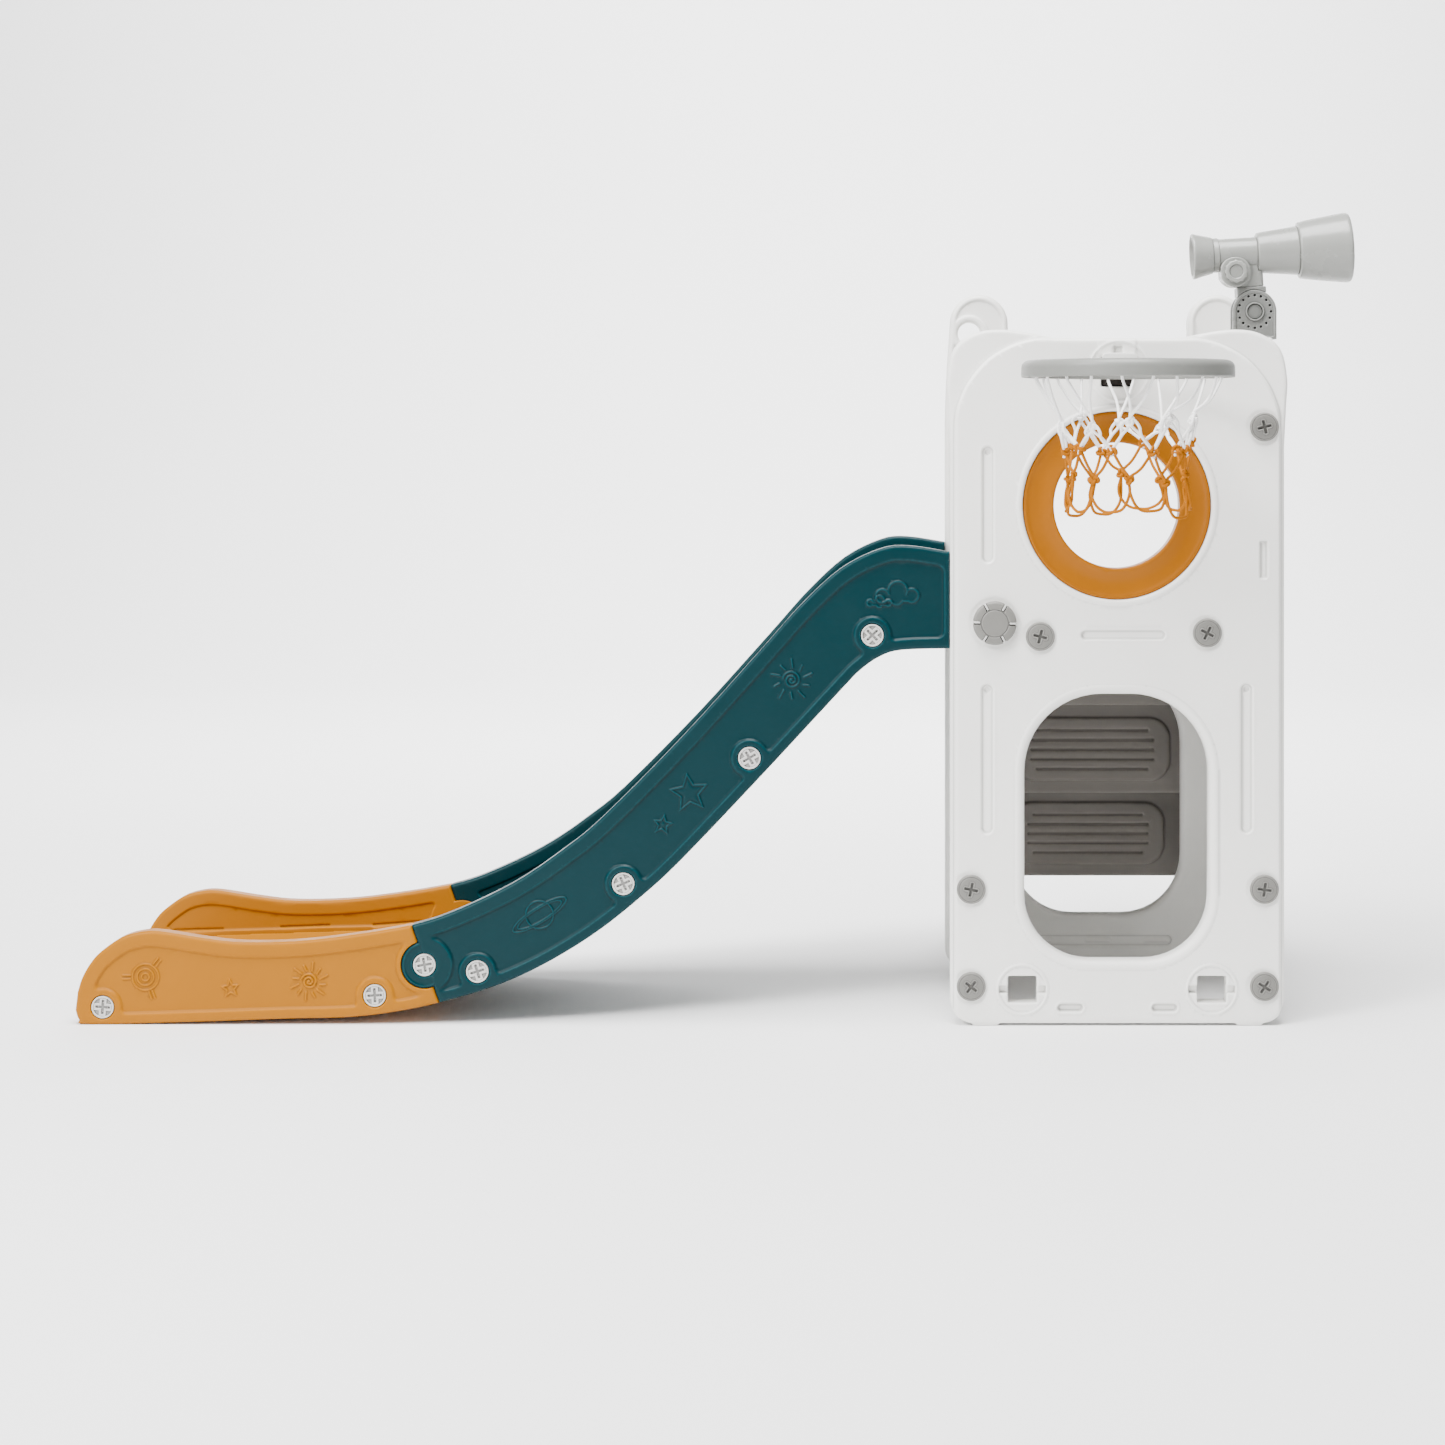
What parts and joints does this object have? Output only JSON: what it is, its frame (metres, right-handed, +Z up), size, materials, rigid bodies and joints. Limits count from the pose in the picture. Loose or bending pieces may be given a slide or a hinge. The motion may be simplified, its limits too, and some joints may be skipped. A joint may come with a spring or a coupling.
{
  "type": "toddler slide and climber play set",
  "caption": "Blow-moulded toddler play set: climbing tower with crawl tunnel, back steps, round window, curved two-section slide, hoop with net and pivoting toy telescope.",
  "frame": {"origin": "middle of the whole set's footprint box, on the ground", "axes": "+Z up, +X from the slide's foot towards the tower, -Y the side with the hoop, +Y the side with the steps"},
  "size_m": [1.8778, 1.0556, 1.191],
  "materials": {
    "white_plastic": "satin",
    "teal_plastic": "satin",
    "orange_plastic": "satin",
    "ring_plastic": "satin",
    "step_plastic": "satin",
    "fitting_plastic": "satin",
    "slide_screw_plastic": "satin",
    "telescope_plastic": "satin",
    "net_cord": "matte",
    "lens": "polished"
  },
  "bodies": {
    "frame": {"front_panel": "white_plastic", "back_panel": "white_plastic", "lower_side_panel_left": "white_plastic", "lower_side_panel_right": "white_plastic", "side_guard_panel": "white_plastic", "deck": "step_plastic", "window_ring": "ring_plastic", "stair_steps": "step_plastic", "stair_side_left": "step_plastic", "stair_side_right": "step_plastic", "hoop_ring": "fitting_plastic", "hoop_bracket": "fitting_plastic", "hoop_net": "net_cord", "telescope_base": "fitting_plastic", "telescope_pivot_bolt": "fitting_plastic", "slide_upper_bed": "teal_plastic", "slide_lower_bed": "orange_plastic", "slide_upper_rail_near": "teal_plastic", "slide_lower_rail_near": "orange_plastic", "slide_upper_rail_far": "teal_plastic", "slide_lower_rail_far": "orange_plastic", "front_panel_screw_1": "fitting_plastic", "front_panel_screw_2": "fitting_plastic", "front_panel_screw_3": "fitting_plastic", "front_panel_screw_4": "fitting_plastic", "front_panel_screw_5": "fitting_plastic", "front_panel_screw_6": "fitting_plastic", "front_panel_screw_7": "fitting_plastic", "back_panel_screw_1": "fitting_plastic", "back_panel_screw_2": "fitting_plastic", "back_panel_screw_3": "fitting_plastic", "back_panel_screw_4": "fitting_plastic", "back_panel_screw_5": "fitting_plastic", "back_panel_screw_6": "fitting_plastic", "back_panel_screw_7": "fitting_plastic", "slide_screw_near_1": "slide_screw_plastic", "slide_screw_near_2": "slide_screw_plastic", "slide_screw_near_3": "slide_screw_plastic", "slide_screw_near_4": "slide_screw_plastic", "slide_screw_near_5": "slide_screw_plastic", "slide_screw_near_6": "slide_screw_plastic", "slide_screw_near_7": "slide_screw_plastic", "slide_screw_far_1": "slide_screw_plastic", "slide_screw_far_2": "slide_screw_plastic", "slide_screw_far_3": "slide_screw_plastic", "slide_screw_far_4": "slide_screw_plastic", "slide_screw_far_5": "slide_screw_plastic", "slide_screw_far_6": "slide_screw_plastic", "slide_screw_far_7": "slide_screw_plastic"},
    "telescope_yoke": {"telescope_tilt_block": "fitting_plastic"},
    "telescope_head": {"telescope_saddle": "telescope_plastic", "telescope_barrel": "telescope_plastic", "telescope_eyecup": "telescope_plastic", "telescope_front_cone": "telescope_plastic", "telescope_hood": "telescope_plastic", "telescope_eyepiece_lens": "lens", "telescope_objective_lens": "lens"},
    "focus_knob": {"telescope_focus_knob": "telescope_plastic"},
    "knob_front": {"lock_knob_front": "fitting_plastic"},
    "knob_back": {"lock_knob_back": "fitting_plastic"}
  },
  "joints": [
    {"name": "telescope_tilt", "type": "hinge", "parent": "frame", "child": "telescope_yoke", "pos_m": [0.79198, -0.05775, 1.0418], "axis": [0, -1, 0], "range_deg": [-30, 30]},
    {"name": "telescope_swivel", "type": "hinge", "parent": "telescope_yoke", "child": "telescope_head", "pos_m": [0.78974, -0.05775, 1.07913], "axis": [-0.0598, 0, 0.9982], "continuous": true},
    {"name": "focus_knob_turn", "type": "hinge", "parent": "telescope_head", "child": "focus_knob", "pos_m": [0.76237, -0.08305, 1.10114], "axis": [0, 1, 0], "continuous": true},
    {"name": "lock_knob_front_turn", "type": "hinge", "parent": "frame", "child": "knob_front", "pos_m": [0.39718, -0.20775, 0.5845], "axis": [0, 1, 0], "range_deg": [0, 90]},
    {"name": "lock_knob_back_turn", "type": "hinge", "parent": "frame", "child": "knob_back", "pos_m": [0.39718, 0.20725, 0.5845], "axis": [0, -1, 0], "range_deg": [0, 90]}
  ]
}
